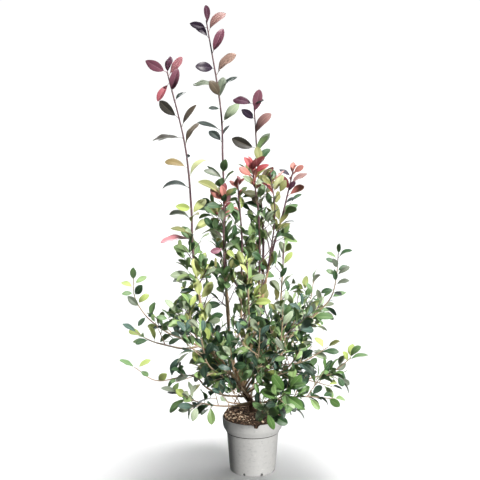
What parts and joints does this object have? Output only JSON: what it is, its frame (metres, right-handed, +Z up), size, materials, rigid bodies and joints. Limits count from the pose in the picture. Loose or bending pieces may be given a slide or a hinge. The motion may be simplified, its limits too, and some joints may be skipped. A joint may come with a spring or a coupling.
{
  "type": "photinia shrub in a nursery pot",
  "caption": "Young evergreen shrub with upright leafy leaders and red new growth, on low side arms, in a round plastic nursery pot.",
  "frame": {"origin": "centre of the pot's flat underside", "axes": "+Z up along the plant's height, +X to the viewer's right and +Y to the back, as the plant is seen from its front"},
  "size_m": [0.8423, 0.6559, 1.5967],
  "materials": {
    "pot": "matt, slightly scuffed light grey",
    "root_ball": "loose brown compost with pale bark chips",
    "bark": "smooth thin bark, orange brown to grey brown",
    "leaf": "glossy leathery green leaf",
    "young_leaf": "glossy red to bronze young leaf"
  },
  "bodies": {
    "root": {"pot": "pot", "root_ball": "root_ball", "trunk": "bark", "bough_arm_left_high": "bark", "bough_arm_right_high": "bark", "bough_front_right": "bark", "bough_left": "bark", "bough_low_right": "bark", "bough_right": "bark", "bough_tall": "bark", "foliage_arm_back": "leaf", "foliage_arm_back_left": "leaf", "foliage_arm_back_low": "leaf", "foliage_arm_back_right": "leaf", "foliage_arm_front_foot": "leaf", "foliage_arm_front_high": "leaf", "foliage_arm_front_left": "leaf", "foliage_arm_front_low": "leaf", "foliage_arm_front_mid": "leaf", "foliage_arm_front_right": "leaf", "foliage_arm_front_rise": "leaf", "foliage_arm_left_fork": "leaf", "foliage_arm_left_high": "leaf", "foliage_arm_left_low": "leaf", "foliage_arm_left_lowest": "leaf", "foliage_arm_left_mid": "leaf", "foliage_arm_left_rise": "leaf", "foliage_arm_right_front": "leaf", "foliage_arm_right_high": "leaf", "foliage_arm_right_low": "leaf", "foliage_arm_right_lowest": "leaf", "foliage_arm_right_mid": "leaf", "foliage_arm_right_rise": "leaf", "foliage_back": "leaf", "foliage_fork_right": "young_leaf", "foliage_front": "leaf", "foliage_front_right": "young_leaf", "foliage_inner": "leaf", "foliage_left": "leaf", "foliage_low_right": "leaf", "foliage_red_left": "young_leaf", "foliage_red_mid": "young_leaf", "foliage_right": "leaf", "foliage_tall": "leaf"}
  },
  "joints": []
}
